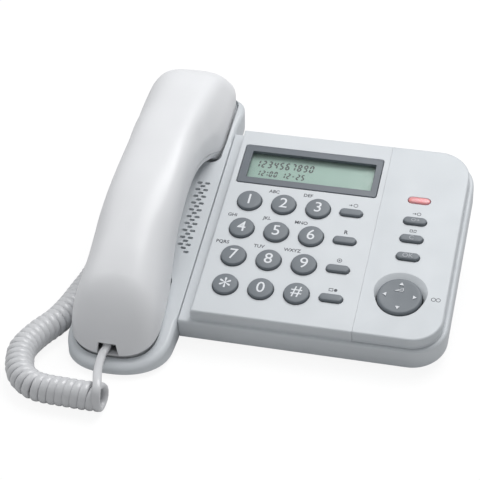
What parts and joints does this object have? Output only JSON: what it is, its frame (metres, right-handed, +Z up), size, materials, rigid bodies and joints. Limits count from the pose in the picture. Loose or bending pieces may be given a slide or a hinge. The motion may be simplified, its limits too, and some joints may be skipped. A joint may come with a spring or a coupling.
{
  "type": "corded desk telephone",
  "caption": "Corded desk telephone: sloping keypad case with display and control panel, handset lying in a side cradle, curly handset cord.",
  "frame": {"origin": "centre of the telephone's footprint on the desk, without its cord", "axes": "+X to the user's right, +Y away from the user, +Z up"},
  "size_m": [0.2126, 0.2288, 0.0768],
  "materials": {
    "case_plastic": "fine-grained satin light grey moulding",
    "handset_plastic": "smooth semi-gloss pale grey moulding",
    "key_plastic": "satin slate grey with white printed characters",
    "bezel_plastic": "satin dark slate",
    "display_window": "clear polished window",
    "lcd": "grey-green reflective liquid crystal cell",
    "indicator_lens": "translucent pink-red lens",
    "rubber": "matt moulded rubber",
    "circuit_board": "green solder resist",
    "steel": "zinc-plated steel",
    "inner_plastic": "dark moulded plastic",
    "cord": "satin light grey cord jacket",
    "plug": "clear moulded plug"
  },
  "bodies": {
    "base": {"keypad_case": "case_plastic", "control_panel": "case_plastic", "display_bezel": "bezel_plastic", "display_window": "display_window", "lcd_glass": "lcd", "indicator_lens": "indicator_lens", "keypad_mat": "rubber", "control_mat": "rubber", "main_circuit_board": "circuit_board", "cradle_case": "case_plastic", "base_cover": "case_plastic", "base_screw_1": "steel", "base_screw_2": "steel", "base_screw_3": "steel", "base_screw_4": "steel", "foot_front_left": "rubber", "foot_front_right": "rubber", "foot_back_left": "rubber", "foot_back_right": "rubber", "battery_tray": "inner_plastic", "line_jack": "inner_plastic", "base_cord_jack": "inner_plastic", "hook_pin": "steel", "hook_switch": "inner_plastic", "ringer_speaker": "steel", "cord_coil": "cord", "base_lead": "cord", "base_plug": "plug"},
    "handset": {"handset_back_shell": "handset_plastic", "handset_front_shell": "handset_plastic", "receiver_capsule": "inner_plastic", "microphone_capsule": "steel", "handset_weight": "steel", "handset_jack": "inner_plastic", "handset_plug": "plug", "handset_lead": "cord"},
    "hook_lever": {"hook_lever": "inner_plastic"},
    "battery_cover": {"battery_cover": "case_plastic"},
    "navigator_rocker": {"navigator_rocker": "key_plastic"},
    "navigator_key": {"navigator_key": "key_plastic"},
    "key_1": {"key_1": "key_plastic"},
    "key_2": {"key_2": "key_plastic"},
    "key_3": {"key_3": "key_plastic"},
    "key_4": {"key_4": "key_plastic"},
    "key_5": {"key_5": "key_plastic"},
    "key_6": {"key_6": "key_plastic"},
    "key_7": {"key_7": "key_plastic"},
    "key_8": {"key_8": "key_plastic"},
    "key_9": {"key_9": "key_plastic"},
    "key_star": {"key_star": "key_plastic"},
    "key_0": {"key_0": "key_plastic"},
    "key_hash": {"key_hash": "key_plastic"},
    "speaker_key": {"speaker_key": "key_plastic"},
    "recall_key": {"recall_key": "key_plastic"},
    "redial_key": {"redial_key": "key_plastic"},
    "pause_key": {"pause_key": "key_plastic"},
    "edit_key": {"edit_key": "key_plastic"},
    "clear_key": {"clear_key": "key_plastic"},
    "enter_key": {"enter_key": "key_plastic"}
  },
  "joints": [
    {"name": "handset_lift", "type": "slide", "parent": "base", "child": "handset", "axis": [0, 0, 1], "range_m": [0, 0.06]},
    {"name": "hook_turn", "type": "hinge", "parent": "base", "child": "hook_lever", "pos_m": [-0.0665, 0.03725, 0.02547], "axis": [1, 0, 0], "range_deg": [0, 9.8], "stiffness_Nm_per_rad": 0.00017, "springref_deg": 28.65},
    {"name": "battery_cover_slide", "type": "slide", "parent": "base", "child": "battery_cover", "axis": [1, 0, 0], "range_m": [0, 0.05]},
    {"name": "navigator_tilt_up_down", "type": "hinge", "parent": "base", "child": "navigator_rocker", "pos_m": [0.069, -0.04028, 0.02695], "axis": [1, 0, 0], "range_deg": [-4, 4], "stiffness_Nm_per_rad": 0.06},
    {"name": "navigator_tilt_left_right", "type": "hinge", "parent": "navigator_rocker", "child": "navigator_key", "pos_m": [0.069, -0.04028, 0.02695], "axis": [0, 0.9659, 0.2588], "range_deg": [-4, 4], "stiffness_Nm_per_rad": 0.06},
    {"name": "key_1_press", "type": "slide", "parent": "base", "child": "key_1", "axis": [0, 0.2588, -0.9659], "range_m": [0, 0.0015], "stiffness_N_per_m": 200},
    {"name": "key_2_press", "type": "slide", "parent": "base", "child": "key_2", "axis": [0, 0.2588, -0.9659], "range_m": [0, 0.0015], "stiffness_N_per_m": 200},
    {"name": "key_3_press", "type": "slide", "parent": "base", "child": "key_3", "axis": [0, 0.2588, -0.9659], "range_m": [0, 0.0015], "stiffness_N_per_m": 200},
    {"name": "key_4_press", "type": "slide", "parent": "base", "child": "key_4", "axis": [0, 0.2588, -0.9659], "range_m": [0, 0.0015], "stiffness_N_per_m": 200},
    {"name": "key_5_press", "type": "slide", "parent": "base", "child": "key_5", "axis": [0, 0.2588, -0.9659], "range_m": [0, 0.0015], "stiffness_N_per_m": 200},
    {"name": "key_6_press", "type": "slide", "parent": "base", "child": "key_6", "axis": [0, 0.2588, -0.9659], "range_m": [0, 0.0015], "stiffness_N_per_m": 200},
    {"name": "key_7_press", "type": "slide", "parent": "base", "child": "key_7", "axis": [0, 0.2588, -0.9659], "range_m": [0, 0.0015], "stiffness_N_per_m": 200},
    {"name": "key_8_press", "type": "slide", "parent": "base", "child": "key_8", "axis": [0, 0.2588, -0.9659], "range_m": [0, 0.0015], "stiffness_N_per_m": 200},
    {"name": "key_9_press", "type": "slide", "parent": "base", "child": "key_9", "axis": [0, 0.2588, -0.9659], "range_m": [0, 0.0015], "stiffness_N_per_m": 200},
    {"name": "key_star_press", "type": "slide", "parent": "base", "child": "key_star", "axis": [0, 0.2588, -0.9659], "range_m": [0, 0.0015], "stiffness_N_per_m": 200},
    {"name": "key_0_press", "type": "slide", "parent": "base", "child": "key_0", "axis": [0, 0.2588, -0.9659], "range_m": [0, 0.0015], "stiffness_N_per_m": 200},
    {"name": "key_hash_press", "type": "slide", "parent": "base", "child": "key_hash", "axis": [0, 0.2588, -0.9659], "range_m": [0, 0.0015], "stiffness_N_per_m": 200},
    {"name": "speaker_key_press", "type": "slide", "parent": "base", "child": "speaker_key", "axis": [0, 0.2588, -0.9659], "range_m": [0, 0.0015], "stiffness_N_per_m": 200},
    {"name": "recall_key_press", "type": "slide", "parent": "base", "child": "recall_key", "axis": [0, 0.2588, -0.9659], "range_m": [0, 0.0015], "stiffness_N_per_m": 200},
    {"name": "redial_key_press", "type": "slide", "parent": "base", "child": "redial_key", "axis": [0, 0.2588, -0.9659], "range_m": [0, 0.0015], "stiffness_N_per_m": 200},
    {"name": "pause_key_press", "type": "slide", "parent": "base", "child": "pause_key", "axis": [0, 0.2588, -0.9659], "range_m": [0, 0.0015], "stiffness_N_per_m": 200},
    {"name": "edit_key_press", "type": "slide", "parent": "base", "child": "edit_key", "axis": [0, 0.2588, -0.9659], "range_m": [0, 0.0015], "stiffness_N_per_m": 200},
    {"name": "clear_key_press", "type": "slide", "parent": "base", "child": "clear_key", "axis": [0, 0.2588, -0.9659], "range_m": [0, 0.0015], "stiffness_N_per_m": 200},
    {"name": "enter_key_press", "type": "slide", "parent": "base", "child": "enter_key", "axis": [0, 0.2588, -0.9659], "range_m": [0, 0.0015], "stiffness_N_per_m": 200}
  ],
  "couplings": [
    {"joint": "hook_turn", "follows": "handset_lift", "rad_per_m": 2.79}
  ]
}
